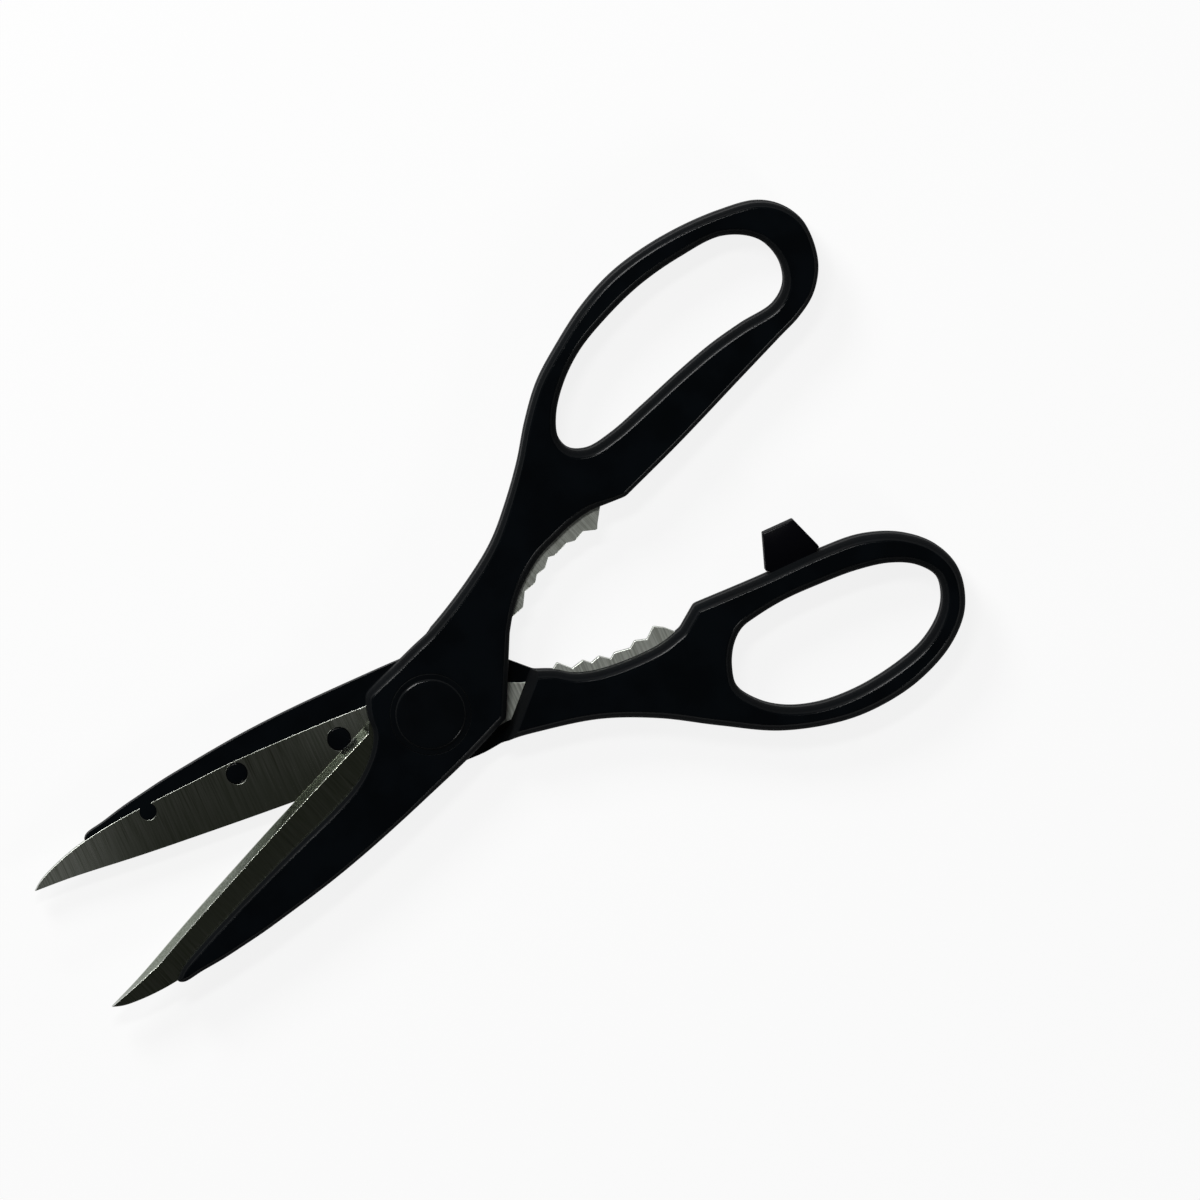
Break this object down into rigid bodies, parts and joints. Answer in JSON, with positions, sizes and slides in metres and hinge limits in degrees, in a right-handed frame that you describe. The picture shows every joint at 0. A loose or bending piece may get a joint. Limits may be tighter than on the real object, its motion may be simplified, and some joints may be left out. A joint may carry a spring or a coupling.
{
  "type": "kitchen scissors",
  "caption": "Kitchen scissors with moulded handles over steel blades, a toothed gripping jaw behind the pivot, unequal finger bows and a stop block between the handles.",
  "frame": {"origin": "on the pivot's axis, at the flush outer face of the back pivot cap, which lies in the plane that the scissors rest on", "axes": "+Z along the pivot's axis, from the back cap to the front cap; +X from the tip of the finger half's blade over the pivot towards the handles; +Y towards the thumb half's handle"},
  "size_m": [0.2054, 0.1092, 0.012],
  "materials": {
    "blade_steel": "fine cross grinding",
    "moulded_plastic": "satin",
    "cap_plastic": "semi-gloss",
    "stop_rubber": "matt",
    "screw_steel": "plated"
  },
  "bodies": {
    "finger_half": {"finger_handle": "moulded_plastic", "finger_blade": "blade_steel", "back_pivot_cap": "cap_plastic", "stop_block": "stop_rubber"},
    "thumb_half": {"thumb_handle": "moulded_plastic", "thumb_blade": "blade_steel", "front_pivot_cap": "cap_plastic", "pivot_screw": "screw_steel", "pivot_nut": "screw_steel", "pivot_washer": "screw_steel", "spring_washer": "screw_steel"}
  },
  "joints": [
    {"name": "pivot", "type": "hinge", "parent": "finger_half", "child": "thumb_half", "pos_m": [0, 0, 0], "axis": [0, 0, 1], "range_deg": [-19, 60]}
  ]
}
